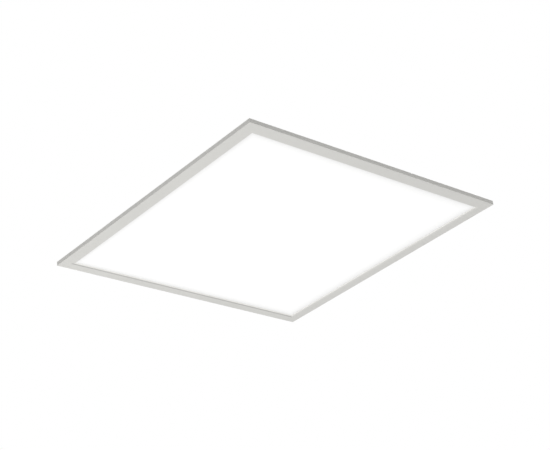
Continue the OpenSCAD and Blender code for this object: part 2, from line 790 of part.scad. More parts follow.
module wiring_door() color("white") in_box() {
    start = -box_end - flange_fit - sheet_t;
    finish = split_x - lid_gap / 2;
    rear = box_side - 0.6;
    difference() {
        block([start, -lid_edge, door_bottom - door_lip], [finish, rear, door_top]);
        block([start + sheet_t, sheet_t - lid_edge, 0], [finish + 1, rear + 1, door_bottom]);
        translate([bay_mid, door_screw_y, 0]) rod(door_screw_r + 0.35, 0, door_top + 1);
    }
    door_knuckles(1, pin_fit);
    knuckle_tabs(1, rear - eps, door_bottom, door_top);
}

module door_hinge_pin() color("silver") in_box()
    translate([bay_mid - hinge_l / 2 - 1, hinge_y, hinge_z]) along_x() {
        rod(pin_r, 0, hinge_l + 2);
        rod(pin_r + 0.6, 0, 0.8);
    }

// Captive screw, with a collar that keeps it on the door
module door_screw() color("silver") in_box() translate([bay_mid, door_screw_y, 0]) {
    seat = door_top + 0.1;
    difference() {
        union() {
            rod(door_head_r, seat, seat + door_head_h);
            rod(door_screw_r, door_bottom - door_screw_l, seat + eps);
            rod(collar_r, door_bottom - 1.1, door_bottom - 0.3);
        }
        block([-door_head_r, -0.6, seat + door_head_h - 1], [door_head_r, 0.6, seat + door_head_h + 1]);
    }
}

// ---- Driver electronics ----

module insulation_sheet() color("lightyellow") in_box() difference() {
    block([pcb_x, 1 - pcb_w / 2, sheet_t], [pcb_x + pcb_l, pcb_w / 2 - 1, sheet_t + sheet_plastic_t]);
    at_each(spacer_spots) rod(spacer_r + 0.3, 0, 5);
}

module board_spacers() color("ivory") in_box() at_each(spacer_spots) difference() {
    rod(spacer_r, sheet_t, pcb_z);
    rod(screw_r + thread_fit, sheet_t + 1, pcb_z + 1);
}

module driver_board() color("darkgreen") in_box() difference() {
    block([pcb_x, -pcb_w / 2, pcb_z], [pcb_x + pcb_l, pcb_w / 2, pcb_top]);
    at_each(spacer_spots) rod(screw_r + clear_fit, 0, tray_h);
}

module board_screws() color("silver") in_box() at_each(spacer_spots)
    translate([0, 0, pcb_top]) pan_screw(screw_r, screw_head_r, screw_head_h, 4.5);

module barrier() color("ivory") in_box() block(
    [barrier_x, flange_fit + sheet_t - box_side, pcb_top],
    [barrier_x + barrier_t, box_side - sheet_t - flange_fit, tray_h - 0.3]);

module line_choke() color("darkorange") in_box() translate([choke_at.x, choke_at.y, pcb_top]) {
    rod(choke_ring_r + 2, 0, 1.5);
    translate([0, 0, choke_wire_r + 0.8]) rotate_extrude() translate([choke_ring_r, 0])
        circle(choke_wire_r);
}

module film_capacitor() color("khaki") in_box() translate([film_at.x, film_at.y, pcb_top]) pad([10, 26, 16]);

// A can capacitor with its crimped groove
module can(r, h) {
    difference() {
        rod(r, 0, h);
        translate([0, 0, 2.5]) rotate_extrude() translate([r + 0.3, 0]) circle(0.8);
    }
}

module capacitors() color("midnightblue") in_box() translate([0, 0, pcb_top]) {
    at_each(bulk_at) can(8, 20);
    at_each(output_cap_at) can(5, 16);
}

module transformer_core() color("dimgray") in_box() translate([core_at.x, core_at.y, pcb_top]) difference() {
    pad(core_size);
    for (s = [-1, 1]) block(
        [s * (core_leg / 2 + core_size.x / 2 - core_yoke) / 2 - 3.5, -core_size.y, core_yoke],
        [s * (core_leg / 2 + core_size.x / 2 - core_yoke) / 2 + 3.5, core_size.y, core_size.z - core_yoke]);
}

module transformer_coil() color("goldenrod") in_box() translate([core_at.x, core_at.y, pcb_top]) {
    side = core_size.x / 2 - core_yoke - coil_gap;
    hole = [core_leg / 2 + coil_gap, core_size.y / 2 + coil_gap];
    low = core_yoke + coil_gap;
    difference() {
        block([-side, -coil_w / 2, low], [side, coil_w / 2, core_size.z - low]);
        block([-hole.x, -hole.y, 0], [hole.x, hole.y, core_size.z]);
    }
}

module heat_sink() color("silver") in_box()
    block([sink_at.x, sink_at.y, pcb_top], [sink_at.x, sink_at.y, pcb_top] + sink_size);

module power_transistors() color("black") in_box() for (x = [12, 36])
    translate([sink_at.x + x, sink_at.y - transistor_size.y, pcb_top]) cube(transistor_size);

module output_socket() color("white") in_box() difference() {
    translate([socket_at, -socket_size.y / 2, pcb_top]) cube(socket_size);
    translate([socket_at + 5, 0, entry_z]) along_x() rod(lead_r + 0.1, 0, socket_size.x);
}

// ---- Terminals and selector ----

module terminal_block() color("lightgray") in_box() difference() {
    translate([block_x, block_y - block_w / 2, pcb_top]) cube([block_l, block_w, block_h]);
    for (y = pole_ys) {
        translate([block_x - 1, y, pcb_top + 5]) along_x() rod(wire_hole_r, 0, 11);
        translate([block_x - eps, y, pcb_top + 5]) along_x()
            cylinder(r1 = wire_hole_r + 0.9, r2 = wire_hole_r, h = 1.4);
        translate([button_mid_x, y, pcb_top + block_h - button_depth - button_travel - button_gap])
            pad([button_x + 2 * slide_fit, button_y + 2 * slide_fit, block_h]);
    }
}

module release_button(index) color("orangered") in_box()
    translate([button_mid_x, pole_ys[index], pcb_top + block_h - button_depth]) difference() {
        pad([button_x, button_y, button_depth + button_rise]);
        translate([0, 0, button_depth + button_rise - 0.6]) pad([button_x - 2, 0.8, 2]);
    }

module selector_switch() color("dimgray") in_box() difference() {
    translate([selector_at.x, selector_at.y, pcb_top]) pad(selector_size);
    slot_z = pcb_top + selector_size.z + slider_rise - slider_size.z - slide_fit;
    translate([selector_at.x, selector_at.y, slot_z])
        pad([slider_size.x + 2 * slide_fit, slider_size.y + 2 * selector_travel + 2, selector_size.z]);
}

module selector_slider() color("white") in_box()
    translate([selector_at.x, selector_at.y, pcb_top + selector_size.z + slider_rise - slider_size.z])
        pad(slider_size);

// ---- Cable entry and earth ----

// Grommet body with its axis along Z, outer flange up, seated in the tray's end wall
module end_wall_plug() {
    rod(entry_flange_r, 0, entry_flange_t);
    rod(entry_hole_r - grommet_fit, -sheet_t - eps, eps);
    rod(entry_flange_r, -sheet_t - entry_flange_t, -sheet_t);
}

module cable_grommet() color("dimgray") in_box()
    translate([-box_end, -entry_y, entry_z]) rotate([0, -90, 0]) difference() {
        end_wall_plug();
        rod(entry_bore_r, -10, 10);
    }

module blanking_plug() color("dimgray") in_box()
    translate([-box_end, entry_y, entry_z]) rotate([0, -90, 0]) difference() {
        end_wall_plug();
        rod(entry_bore_r, entry_flange_t - 0.8, 10);
    }

// Block of the cord clamp between two heights, with its cable groove
module clamp_half(z0, z1, hole_r, hole_z) {
    translate([clamp_at, -entry_y, 0]) difference() {
        block([-clamp_l / 2, -clamp_w / 2, z0], [clamp_l / 2, clamp_w / 2, z1]);
        translate([-clamp_l, 0, entry_z]) along_x() rod(clamp_groove_r, 0, 2 * clamp_l);
        for (s = [-1, 1]) translate([0, s * clamp_screw_y, 0]) rod(hole_r, hole_z, tray_h);
    }
}

module cord_saddle() color("ivory") in_box()
    clamp_half(sheet_t, entry_z - clamp_gap / 2, screw_r + thread_fit, sheet_t + 1.5);

module cord_clamp() color("ivory") in_box()
    clamp_half(entry_z + clamp_gap / 2, clamp_top, screw_r + clear_fit, 0);

module cord_clamp_screws() color("silver") in_box() for (s = [-1, 1])
    translate([clamp_at, s * clamp_screw_y - entry_y, clamp_top])
        pan_screw(screw_r, screw_head_r, screw_head_h, clamp_top - sheet_t - 2);

module earth_washer() color("gold") in_box()
    translate([boss_at.x, boss_at.y, sheet_t + boss_h]) difference() {
    rod(washer_r, 0, washer_t);
    rod(earth_screw_r + clear_fit, -1, washer_t + 1);
}

module earth_screw() color("gold") in_box()
    translate([boss_at.x, boss_at.y, sheet_t + boss_h + washer_t])
    pan_screw(earth_screw_r, earth_head_r, earth_head_h, washer_t + boss_h - 0.5);

// ---- Grid tabs ----

// Children with X along the edge, Y inwards from the hinge axis and Z up from it
module on_tab(spot) {
    translate([spot.x * (half_x - tab_inset), spot.y * (half_y - tab_edge), cover_top + tab_axis_h])
        rotate(spot.y > 0 ? 180 : 0) children();
}

// A knuckle between two places along the hinge axis
module tab_knuckle(x0, x1, bore_fit) {
    translate([x0, 0, 0]) along_x() difference() {
        rod(tab_knuckle_r, 0, x1 - x0);
        rod(tab_pin_r + bore_fit, -1, x1 - x0 + 1);
    }
}

module tab_brackets() color("lightgray") for (spot = tab_spots) on_tab(spot) {
    inner = tab_knuckle_l / 2 + tab_side_gap;
    difference() {
        union() {
            block([-tab_w / 2, 0, -tab_axis_h], [tab_w / 2, tab_foot, tab_foot_t - tab_axis_h]);
            for (s = [-1, 1]) {
                low = min(s * inner, s * tab_w / 2);
                high = max(s * inner, s * tab_w / 2);
                block([low, -0.4, -tab_axis_h], [high, 0.4, -tab_pin_r - 0.4]);
            }
        }
        block([-inner, -1, -tab_axis_h - 1], [inner, tab_knuckle_r + tab_side_gap, 0]);
    }
    for (s = [-1, 1])
        tab_knuckle(min(s * inner, s * tab_w / 2), max(s * inner, s * tab_w / 2), hold_fit);
}

module tab_pins() color("silver") for (spot = tab_spots) on_tab(spot)
    translate([-tab_w / 2 - 0.3, 0, 0]) along_x() rod(tab_pin_r, 0, tab_w + 0.6);

// A leaf that lies flat at rest and stands up when it is turned
module grid_tab(spot) color("silver") on_tab(spot) {
    near = tab_knuckle_r + 0.5;
    reach = tab_w / 2 - 1;
    top = tab_leaf_z + tab_t;
    difference() {
        union() {
            block([-reach, near, tab_leaf_z], [reach, tab_l - tab_corner_r, top]);
            block([tab_corner_r - reach, near, tab_leaf_z], [reach - tab_corner_r, tab_l, top]);
            block([-tab_knuckle_l / 2, 0, tab_leaf_z], [tab_knuckle_l / 2, near + 1, top]);
            for (s = [-1, 1]) translate([s * (reach - tab_corner_r), tab_l - tab_corner_r, 0])
                rod(tab_corner_r, tab_leaf_z, top);
        }
        translate([0, tab_hole_at, 0]) rod(tab_hole_r, tab_leaf_z - 1, top + 1);
        translate([-tab_w, 0, 0]) along_x() rod(tab_knuckle_r - 0.3, 0, 2 * tab_w);
    }
    tab_knuckle(-tab_knuckle_l / 2, tab_knuckle_l / 2, pin_fit);
}

module grid_tab_1() grid_tab(tab_spots[0]);
module grid_tab_2() grid_tab(tab_spots[1]);
module grid_tab_3() grid_tab(tab_spots[2]);
module grid_tab_4() grid_tab(tab_spots[3]);
module release_button_1() release_button(0);
module release_button_2() release_button(1);
module release_button_3() release_button(2);

frame_front();
frame_right();
frame_back();
frame_left();
corner_keys();
corner_key_screws();
diffuser_plate();
light_guide_plate();
reflector_sheet();
foam_pad();
thermal_tapes();
led_boards();
led_packages();
link_wire();
back_cover();
cover_screws();
suspension_inserts();
lead_grommets();
output_lead();
lead_clips();
driver_tray();
driver_studs();
driver_nuts();
driver_lid();
lid_screws();
wiring_door();
door_hinge_pin();
door_screw();
insulation_sheet();
board_spacers();
driver_board();
board_screws();
barrier();
line_choke();
film_capacitor();
capacitors();
transformer_core();
transformer_coil();
heat_sink();
power_transistors();
output_socket();
terminal_block();
release_button_1();
release_button_2();
release_button_3();
selector_switch();
selector_slider();
cable_grommet();
blanking_plug();
cord_saddle();
cord_clamp();
cord_clamp_screws();
earth_screw();
earth_washer();
tab_brackets();
tab_pins();
grid_tab_1();
grid_tab_2();
grid_tab_3();
grid_tab_4();
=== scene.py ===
"""A square LED ceiling panel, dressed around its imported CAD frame. All lengths are in metres."""
import json
import math

import bmesh
import bpy
from mathutils import Matrix, Vector


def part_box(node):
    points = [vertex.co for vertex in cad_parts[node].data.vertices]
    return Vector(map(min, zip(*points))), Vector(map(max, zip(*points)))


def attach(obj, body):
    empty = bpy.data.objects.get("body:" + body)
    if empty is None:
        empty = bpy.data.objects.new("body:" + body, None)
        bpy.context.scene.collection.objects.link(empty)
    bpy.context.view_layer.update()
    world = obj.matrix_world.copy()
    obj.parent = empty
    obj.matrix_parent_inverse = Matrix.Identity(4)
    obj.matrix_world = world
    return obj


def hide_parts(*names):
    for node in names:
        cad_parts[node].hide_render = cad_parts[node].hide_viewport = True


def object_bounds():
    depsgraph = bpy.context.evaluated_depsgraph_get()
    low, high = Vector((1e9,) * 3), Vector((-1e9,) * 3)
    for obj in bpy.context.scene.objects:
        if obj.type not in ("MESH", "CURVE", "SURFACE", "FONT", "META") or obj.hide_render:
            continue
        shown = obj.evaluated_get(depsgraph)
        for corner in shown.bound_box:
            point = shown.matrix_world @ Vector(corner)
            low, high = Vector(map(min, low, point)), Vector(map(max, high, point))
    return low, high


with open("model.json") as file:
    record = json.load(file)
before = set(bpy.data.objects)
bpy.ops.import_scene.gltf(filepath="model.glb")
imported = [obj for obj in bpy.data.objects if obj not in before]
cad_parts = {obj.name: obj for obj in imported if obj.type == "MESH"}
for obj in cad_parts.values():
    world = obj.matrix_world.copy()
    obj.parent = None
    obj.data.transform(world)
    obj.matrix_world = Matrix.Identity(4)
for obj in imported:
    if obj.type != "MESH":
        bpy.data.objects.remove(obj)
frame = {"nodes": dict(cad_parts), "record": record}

MM = 0.001
MERGE = 0.002 * MM  # CAD vertices closer than this are one point
NODES = frame["nodes"]
CAD_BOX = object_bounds()
scene = bpy.context.scene


# ---- Material builder ----

class Shader:
    """A Principled material with a few short-hands for procedural detail in object space."""

    def __init__(self, name, colour, roughness=0.5, metallic=0.0, **sockets):
        self.material = bpy.data.materials.new(name)
        self.material.use_nodes = True
        self.material.diffuse_color = (*colour, 1)
        self.tree = self.material.node_tree
        self.nodes, self.links = self.tree.nodes, self.tree.links
        self.bsdf = self.nodes["Principled BSDF"]
        self.set("Base Color", (*colour, 1))
        self.set("Roughness", roughness)
        self.set("Metallic", metallic)
        for socket, value in sockets.items():
            self.set(socket.replace("_", " "), value)
        self.coords = self.nodes.new("ShaderNodeTexCoord").outputs["Object"]
        self.tone = None
        self.bumps = None

    def set(self, socket, value):
        self.bsdf.inputs[socket].default_value = value

    def axis(self, name):
        """One object coordinate."""
        node = self.nodes.new("ShaderNodeSeparateXYZ")
        self.links.new(self.coords, node.inputs[0])
        return node.outputs[name]

    def stretched(self, scale):
        """Object coordinates, scaled along each axis."""
        node = self.nodes.new("ShaderNodeMapping")
        node.inputs["Scale"].default_value = scale
        self.links.new(self.coords, node.inputs["Vector"])
        return node.outputs["Vector"]

    def noise(self, scale, detail=2, rough=0.5, stretch=(1, 1, 1)):
        node = self.nodes.new("ShaderNodeTexNoise")
        node.inputs["Scale"].default_value = scale
        node.inputs["Detail"].default_value = detail
        node.inputs["Roughness"].default_value = rough
        self.links.new(self.stretched(stretch), node.inputs["Vector"])
        return node.outputs["Fac"]

    def voronoi(self, scale, output="Color", distance="EUCLIDEAN"):
        node = self.nodes.new("ShaderNodeTexVoronoi")
        node.distance = distance
        node.inputs["Scale"].default_value = scale
        self.links.new(self.coords, node.inputs["Vector"])
        return node.outputs[output]

    def wave(self, scale, axis="X", distortion=0.0):
        node = self.nodes.new("ShaderNodeTexWave")
        node.bands_direction = axis
        node.inputs["Scale"].default_value = scale
        node.inputs["Distortion"].default_value = distortion
        self.links.new(self.coords, node.inputs["Vector"])
        return node.outputs["Fac"]

    def math(self, operation, a, b=0.0, clamp=False):
        node = self.nodes.new("ShaderNodeMath")
        node.operation = operation
        node.use_clamp = clamp
        for socket, value in zip(node.inputs, (a, b)):
            if isinstance(value, (int, float)):
                socket.default_value = value
            else:
                self.links.new(value, socket)
        return node.outputs[0]

    def ramp(self, factor, stops):
        """A colour ramp through (position, grey or colour) stops."""
        node = self.nodes.new("ShaderNodeValToRGB")
        elements = node.color_ramp.elements
        while len(elements) < len(stops):
            elements.new(0.5)
        for element, (position, value) in zip(elements, stops):
            element.position = position
            rgb = (value,) * 3 if isinstance(value, (int, float)) else value
            element.color = (*rgb, 1)
        self.links.new(factor, node.inputs["Fac"])
        return node.outputs["Color"]

    def mix(self, factor, a, b, blend="MIX"):
        node = self.nodes.new("ShaderNodeMix")
        node.data_type, node.blend_type = "RGBA", blend
        for socket, value in ((node.inputs["Factor"], factor), (node.inputs[6], a), (node.inputs[7], b)):
            if isinstance(value, tuple):
                socket.default_value = (*value, 1)
            elif isinstance(value, (int, float)):
                socket.default_value = value
            else:
                self.links.new(value, socket)
        return node.outputs[2]

    def colour(self, output):
        self.links.new(output, self.bsdf.inputs["Base Color"])

    def roughness(self, factor, low, high):
        self.links.new(self.ramp(factor, [(0.3, low), (0.7, high)]), self.bsdf.inputs["Roughness"])

    def bump(self, height, strength, distance):
        node = self.nodes.new("ShaderNodeBump")
        node.inputs["Strength"].default_value = strength
        node.inputs["Distance"].default_value = distance
        self.links.new(height, node.inputs["Height"])
        if self.bumps is not None:
            self.links.new(self.bumps, node.inputs["Normal"])
        self.bumps = node.outputs["Normal"]
        self.links.new(self.bumps, self.bsdf.inputs["Normal"])


# ---- Materials ----

def scaled(colour, factor):
    """The colour made darker or lighter."""
    return tuple(min(1.0, c * factor) for c in colour)


def shades(s, factor, colour, low, high):
    """The colour darkened and lightened by a pattern."""
    return s.ramp(factor, [(0.3, scaled(colour, low)), (0.7, scaled(colour, high))])


def powder_coat(name, colour, roughness=0.42, grain=1.0, uneven=0.015):
    """Powder paint: a fine orange peel, barely uneven in tone."""
    s = Shader(name, colour, roughness)
    s.tone = shades(s, s.noise(9.0, detail=3), colour, 1 - uneven, 1 + uneven)
    s.colour(s.tone)
    s.roughness(s.noise(140.0), roughness - 0.05, roughness + 0.06)
    s.bump(s.noise(900.0), 0.06 * grain, 0.00008)
    s.bump(s.noise(260.0, detail=1), 0.05 * grain, 0.00012)
    return s


# How much lighter or darker the frame's face is painted towards its inner edge, by distance from the outer
# edge in mm:
# on the two far sides a painted glow of the diffuser's light, and on the -X side a thin painted shadow
# line before that
PAINTED_LIGHT_BACK = ((0, 1.0), (17, 1.0), (20, 1.04), (22.5, 1.17), (25, 1.42))
PAINTED_LIGHT_LEFT = ((0, 1.0), (18, 1.0), (19.4, 0.68), (21, 0.68), (22.3, 0.98), (25, 1.4))
PAINTED_LIGHT_TOP = 1.45  # ramps hold at most 1, so their values are divided by this and multiplied back


def frame_paint():
    """The frame's paint, with the diffuser's light painted along the inner edge of its far sides."""
    s = powder_coat("frame_paint", (0.724, 0.718, 0.688))
    half = CAD_BOX[1].x
    tone = s.tone
    # painted light and shade in the base colour of the +Y and -X sides: a painted glow near the inner
    # edge, and on -X a painted shadow line
    for axis, sign, other, stops in (("Y", 1.0, "X", PAINTED_LIGHT_BACK), ("X", -1.0, "Y", PAINTED_LIGHT_LEFT)):
        place = s.math("MULTIPLY", s.axis(axis), sign)
        width = stops[-1][0]
        inwards = s.math("DIVIDE", s.math("SUBTRACT", half, place), width * MM, clamp=True)
        shade = s.ramp(inwards, [(mm / width, value / PAINTED_LIGHT_TOP) for mm, value in stops])
        lit = s.mix(1.0, s.mix(1.0, tone, shade, "MULTIPLY"), (PAINTED_LIGHT_TOP,) * 3, "MULTIPLY")
        on_side = s.math("GREATER_THAN", place, s.math("ABSOLUTE", s.axis(other)))
        tone = s.mix(on_side, tone, lit)
    s.colour(tone)
    return s.material


def zinc_sheet():
    """Zinc-coated cover sheet: small spangle, faint rolling marks, handling stains, and not quite flat."""
    colour = (0.57, 0.585, 0.60)
    s = Shader("cover_steel", colour, 0.45, metallic=0.18)
    spangle = s.ramp(s.voronoi(330.0), [(0.1, scaled(colour, 0.92)), (0.9, scaled(colour, 1.08))])
    stains = s.ramp(s.noise(7.0, detail=5, rough=0.6), [(0.42, 1.0), (0.7, 0.94)])
    s.colour(s.mix(1.0, spangle, stains, "MULTIPLY"))
    s.roughness(s.noise(24.0, detail=4), 0.4, 0.52)
    s.bump(s.noise(700.0, detail=2, stretch=(0.03, 1, 1)), 0.12, 0.00008)
    s.bump(s.noise(5.0, detail=1, stretch=(1, 0.25, 1)), 0.25, 0.002)
    return s.material


def plated(name, colour, roughness=0.34):
    """Plated steel, slightly cloudy, with fine scratches."""
    s = Shader(name, colour, roughness, metallic=1.0)
    s.colour(shades(s, s.noise(420.0, detail=4, rough=0.6), colour, 0.82, 1.08))
    s.roughness(s.noise(900.0), roughness - 0.08, roughness + 0.14)
    s.bump(s.noise(2600.0), 0.18, 0.00005)
    return s.material


def galvanised(name, colour):
    """Galvanised sheet with its spangle."""
    s = Shader(name, colour, 0.42, metallic=1.0)
    spangle = s.voronoi(420.0)
    s.colour(s.ramp(spangle, [(0.1, scaled(colour, 0.9)), (0.9, scaled(colour, 1.06))]))
    s.links.new(s.ramp(spangle, [(0.1, 0.40), (0.9, 0.5)]), s.bsdf.inputs["Roughness"])
    s.bump(s.noise(1500.0, detail=3), 0.15, 0.00006)
    return s.material


def moulded(name, colour, roughness=0.45, grain=0.5):
    """Injection-moulded plastic with a fine spark-eroded texture."""
    s = Shader(name, colour, roughness)
    s.colour(shades(s, s.noise(60.0, detail=3), colour, 0.95, 1.05))
    s.roughness(s.noise(700.0), roughness - 0.06, roughness + 0.08)
    s.bump(s.noise(2200.0), 0.2 * grain, 0.00005)
    return s.material


def rubber(name, colour):
    s = Shader(name, colour, 0.68)
    s.colour(shades(s, s.noise(180.0, detail=4), colour, 0.8, 1.35))
    s.roughness(s.noise(420.0, detail=3), 0.58, 0.8)
    s.bump(s.noise(1300.0, detail=3), 0.25, 0.00008)
    return s.material


def foam(name, colour):
    """Closed-cell foam."""
    s = Shader(name, colour, 0.85)
    cells = s.voronoi(1100.0, "Distance")
    s.colour(shades(s, cells, colour, 0.88, 1.04))
    s.roughness(s.noise(200.0), 0.78, 0.92)
    s.bump(cells, 0.5, 0.0003)
    return s.material


def wound(name, colour, pitch=0.7 * MM, axis="Z"):
    """Enamelled wire laid in turns, with painted shade between the turns and a painted highlight on their
    crests.
    """
    s = Shader(name, colour, 0.28, Coat_Weight=0.5)
    turns = s.wave(math.pi / pitch / 10, axis, 0.4)
    # painted shade in the grooves between turns and a painted highlight on their crests
    s.colour(shades(s, turns, colour, 0.55, 1.1))
    s.roughness(s.noise(500.0), 0.2, 0.38)
    s.bump(turns, 0.6, 0.0002)
    return s.material


def enamelled(name, colour):
    """Copper wire under clear enamel."""
    s = Shader(name, colour, 0.3, metallic=0.8, Coat_Weight=0.7)
    s.colour(shades(s, s.noise(300.0, detail=3), colour, 0.8, 1.15))
    s.roughness(s.noise(900.0), 0.24, 0.38)
    s.bump(s.noise(2400.0), 0.15, 0.00004)
    return s.material


def circuit_board(name, colour):
    """Solder resist over square-cornered copper tracks."""
    s = Shader(name, colour, 0.3, Coat_Weight=0.3)
    reach = s.math("MULTIPLY", s.voronoi(55.0, "Distance", "CHEBYCHEV"), 9.0)
    tracks = s.ramp(s.math("FRACT", reach), [(0.55, 0.0), (0.6, 1.0), (0.9, 1.0), (0.95, 0.0)])
    s.colour(s.mix(tracks, shades(s, s.noise(80.0), colour, 0.9, 1.1), scaled(colour, 1.6)))
    s.roughness(s.noise(300.0), 0.24, 0.4)
    s.bump(tracks, 0.3, 0.00005)
    return s.material


def extruded(name, colour, axis="X"):
    """Extruded aluminium with its draw lines."""
    s = Shader(name, colour, 0.42, metallic=1.0)
    lines = s.noise(500.0, detail=3, stretch=tuple(0.03 if axis == a else 1 for a in "XYZ"))
    s.colour(shades(s, lines, colour, 0.88, 1.06))
    s.roughness(lines, 0.34, 0.52)
    s.bump(lines, 0.3, 0.00008)
    return s.material


# The light given off by the diffuser at each distance from the edge of its opening, in mm
GLOW = ((0, 0.28), (3, 0.355), (6, 0.405), (9, 0.44), (13, 0.465), (20, 0.485), (32, 0.54))


def lit_diffuser():
    """Opal plate lit through its edges, which dims a little towards the frame."""
    s = Shader("opal_lit", (0.60, 0.60, 0.595), 0.5)
    opening = -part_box("frame_left")[1].x
    from_x = s.math("SUBTRACT", opening, s.math("ABSOLUTE", s.axis("X")))
    from_y = s.math("SUBTRACT", opening, s.math("ABSOLUTE", s.axis("Y")))
    reach = GLOW[-1][0] * MM
    edge = s.math("DIVIDE", s.math("MINIMUM", from_x, from_y), reach, clamp=True)
    glow = s.ramp(edge, [(mm * MM / reach, value) for mm, value in GLOW])
    cloud = s.ramp(s.noise(7.0), [(0.3, 0.98), (0.7, 1.0)])
    s.links.new(s.mix(1.0, glow, cloud, "MULTIPLY"), s.bsdf.inputs["Emission Color"])
    s.set("Emission Strength", 1.0)
    s.roughness(s.noise(300.0), 0.45, 0.55)
    s.bump(s.noise(1800.0), 0.15, 0.00006)
    return s.material


MAKERS = {
    "frame_paint": frame_paint,
    "cover_steel": zinc_sheet,
    "box_steel": lambda: powder_coat("box_steel", (0.72, 0.73, 0.74), 0.36, 1.6, 0.02).material,
    "zinc_cast": lambda: plated("zinc_cast", (0.45, 0.46, 0.48), 0.55),
    "screw_steel": lambda: plated("screw_steel", (0.66, 0.67, 0.69)),
    "insert_steel": lambda: plated("insert_steel", (0.70, 0.61, 0.36)),
    "earth_brass": lambda: plated("earth_brass", (0.80, 0.60, 0.26), 0.28),
    "tab_steel": lambda: galvanised("tab_steel", (0.56, 0.57, 0.59)),
    "opal": lit_diffuser,
    "guide_acrylic": lambda: moulded("guide_acrylic", (0.88, 0.93, 0.94), 0.12, 0.1),
    "reflector_film": lambda: moulded("reflector_film", (0.92, 0.92, 0.92), 0.3, 0.2),
    "foam": lambda: foam("foam", (0.85, 0.84, 0.78)),
    "thermal_tape": lambda: rubber("thermal_tape", (0.62, 0.62, 0.64)),
    "led_board": lambda: moulded("led_board", (0.88, 0.89, 0.88), 0.3, 0.2),
    "led_phosphor": lambda: moulded("led_phosphor", (0.90, 0.80, 0.42), 0.35, 0.2),
    "flat_wire": lambda: moulded("flat_wire", (0.62, 0.08, 0.06), 0.4),
    "lead_sheath": lambda: moulded("lead_sheath", (0.74, 0.74, 0.72), 0.42),
    "grommet_rubber": lambda: rubber("grommet_rubber", (0.035, 0.035, 0.037)),
    "clip_nylon": lambda: moulded("clip_nylon", (0.80, 0.80, 0.76), 0.4),
    "insulation": lambda: moulded("insulation", (0.82, 0.78, 0.62), 0.5, 0.4),
    "fr4": lambda: circuit_board("fr4", (0.03, 0.19, 0.09)),
    "ferrite": lambda: rubber("ferrite", (0.06, 0.06, 0.065)),
    "winding": lambda: wound("winding", (0.78, 0.60, 0.10)),
    "choke": lambda: enamelled("choke", (0.62, 0.24, 0.08)),
    "film_box": lambda: moulded("film_box", (0.76, 0.62, 0.14), 0.3),
    "capacitor_sleeve": lambda: moulded("capacitor_sleeve", (0.03, 0.05, 0.17), 0.22, 0.2),
    "sink_alu": lambda: extruded("sink_alu", (0.74, 0.75, 0.77)),
    "chip_black": lambda: moulded("chip_black", (0.035, 0.035, 0.038), 0.5),
    "terminal_grey": lambda: moulded("terminal_grey", (0.52, 0.53, 0.54), 0.42),
    "button_orange": lambda: moulded("button_orange", (0.80, 0.20, 0.03), 0.35),
    "switch_black": lambda: moulded("switch_black", (0.05, 0.05, 0.055), 0.45),
    "slider_white": lambda: moulded("slider_white", (0.84, 0.84, 0.82), 0.35),
    "floor": lambda: powder_coat("floor", (0.8, 0.8, 0.8), 0.85, 0.5, 0.01).material,
}
made = {}


def material(slot):
    if slot not in made:
        made[slot] = MAKERS[slot]()
    return made[slot]


# ---- Camera, light and floor ----

def make_camera():
    """Looks up at the panel's visible face from below one of its corners."""
    data = bpy.data.cameras.new("camera")
    data.lens = 97.75
    data.sensor_width = 36.0
    data.clip_start, data.clip_end = 0.05, 80.0
    camera = bpy.data.objects.new("camera", data)
    right = Vector((0.6324596, 0.7671568, -0.1070757))
    up = Vector((0.4178593, -0.2215133, 0.8810933))
    back = Vector((0.6522181, -0.6019985, -0.4606618))
    turn = Matrix((right, up, back)).transposed().to_4x4()
    camera.matrix_world = Matrix.Translation((1.8683, -1.7190, -1.2960)) @ turn
    scene.collection.objects.link(camera)
    scene.camera = camera


# The sky's strength, as the z of two directions and the strength at each
LIGHTING_SKY = (0.0, 1.0, 0.42, 0.46)
SEEN_SKY = (-0.06, 0.05, 0.84, 1.0)
SUN = 2.45
UNDER_WATTS = 4.1


def make_world():
    """A white surround to the camera, and a dim dome, brighter overhead, as a light."""
    world = bpy.data.worlds.new("studio")
    scene.world = world
    world.use_nodes = True
    nodes, links = world.node_tree.nodes, world.node_tree.links
    nodes.clear()
    coords = nodes.new("ShaderNodeTexCoord")
    axes = nodes.new("ShaderNodeSeparateXYZ")
    links.new(coords.outputs["Generated"], axes.inputs[0])

    def sky(limits):
        by_height = nodes.new("ShaderNodeMapRange")
        for socket, value in zip(("From Min", "From Max", "To Min", "To Max"), limits):
            by_height.inputs[socket].default_value = value
        links.new(axes.outputs["Z"], by_height.inputs["Value"])
        background = nodes.new("ShaderNodeBackground")
        background.inputs["Color"].default_value = (1, 1, 1, 1)
        links.new(by_height.outputs["Result"], background.inputs["Strength"])
        return background

    lighting, seen = sky(LIGHTING_SKY), sky(SEEN_SKY)
    path = nodes.new("ShaderNodeLightPath")
    mix = nodes.new("ShaderNodeMixShader")
    out = nodes.new("ShaderNodeOutputWorld")
    links.new(path.outputs["Is Camera Ray"], mix.inputs[0])
    links.new(lighting.outputs[0], mix.inputs[1])
    links.new(seen.outputs[0], mix.inputs[2])
    links.new(mix.outputs[0], out.inputs["Surface"])


def aim(light, place, target):
    """Puts a light in the scene, at a place and turned to a target."""
    light.location = place
    light.rotation_mode = "QUATERNION"
    light.rotation_quaternion = (Vector(target) - Vector(place)).to_track_quat("-Z", "Y")
    scene.collection.objects.link(light)


def area_light(name, place, target, size, watts):
    data = bpy.data.lights.new(name, "AREA")
    data.shape = "SQUARE"
    data.size = size
    data.energy = watts
    light = bpy.data.objects.new(name, data)
    light.visible_camera = False
    aim(light, place, target)


def overhead_light():
    """Broad soft light from above and behind, across the beads of the cover, so that its relief shows."""
    data = bpy.data.lights.new("overhead", "SUN")
    data.energy = SUN
    data.angle = math.radians(20)
    aim(bpy.data.objects.new("overhead", data), (-0.6, 2.4, 1.9), (0, 0, 0))


